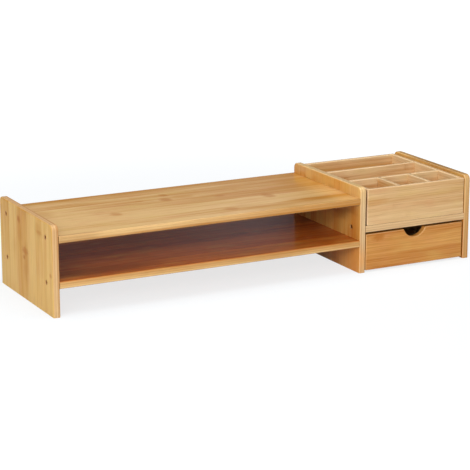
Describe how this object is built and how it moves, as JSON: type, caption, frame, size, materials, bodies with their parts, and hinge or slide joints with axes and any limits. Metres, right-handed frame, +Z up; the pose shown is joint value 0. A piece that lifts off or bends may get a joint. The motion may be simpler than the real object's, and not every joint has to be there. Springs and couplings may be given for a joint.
{
  "type": "laptop stand with drawer",
  "caption": "Bamboo laptop stand with a top shelf and an open lower shelf, and a lift-out organizer tray over a pull-out drawer at its right end.",
  "frame": {"origin": "on the surface that the stand rests on, under the middle of its length and depth", "axes": "+X along the stand towards the drawer, -Y towards the front where the drawer opens, +Z up"},
  "size_m": [0.68, 0.2, 0.13],
  "materials": {
    "bamboo_panel": "satin lacquer, upright grain",
    "bamboo_shelf": "satin lacquer, lengthwise strips",
    "bamboo_tray": "satin lacquer, fine grain",
    "bamboo_drawer": "satin lacquer, fine grain",
    "screw_steel": "dark bronze"
  },
  "bodies": {
    "stand": {"left_side_panel": "bamboo_panel", "middle_panel": "bamboo_panel", "right_side_panel": "bamboo_panel", "top_shelf": "bamboo_shelf", "lower_shelf": "bamboo_shelf", "deck_board": "bamboo_shelf", "drawer_runner_left": "bamboo_drawer", "drawer_runner_right": "bamboo_drawer", "left_panel_screws": "screw_steel", "middle_panel_shelf_screws": "screw_steel", "middle_panel_deck_screws": "screw_steel", "right_panel_deck_screws": "screw_steel", "left_runner_screws": "screw_steel", "right_runner_screws": "screw_steel"},
    "drawer": {"drawer_front": "bamboo_drawer", "drawer_left_side": "bamboo_drawer", "drawer_right_side": "bamboo_drawer", "drawer_back": "bamboo_drawer", "drawer_bottom": "bamboo_drawer"},
    "tray": {"tray_front": "bamboo_tray", "tray_back": "bamboo_tray", "tray_left_side": "bamboo_tray", "tray_right_side": "bamboo_tray", "tray_bottom": "bamboo_tray", "tray_front_divider": "bamboo_tray", "tray_rear_divider": "bamboo_tray", "tray_short_divider_left": "bamboo_tray", "tray_short_divider_right": "bamboo_tray"}
  },
  "joints": [
    {"name": "drawer_slide", "type": "slide", "parent": "stand", "child": "drawer", "axis": [0, -1, 0], "range_m": [0, 0.15]},
    {"name": "tray_lift", "type": "slide", "parent": "stand", "child": "tray", "axis": [0, 0, 1], "range_m": [0, 0.065]}
  ]
}
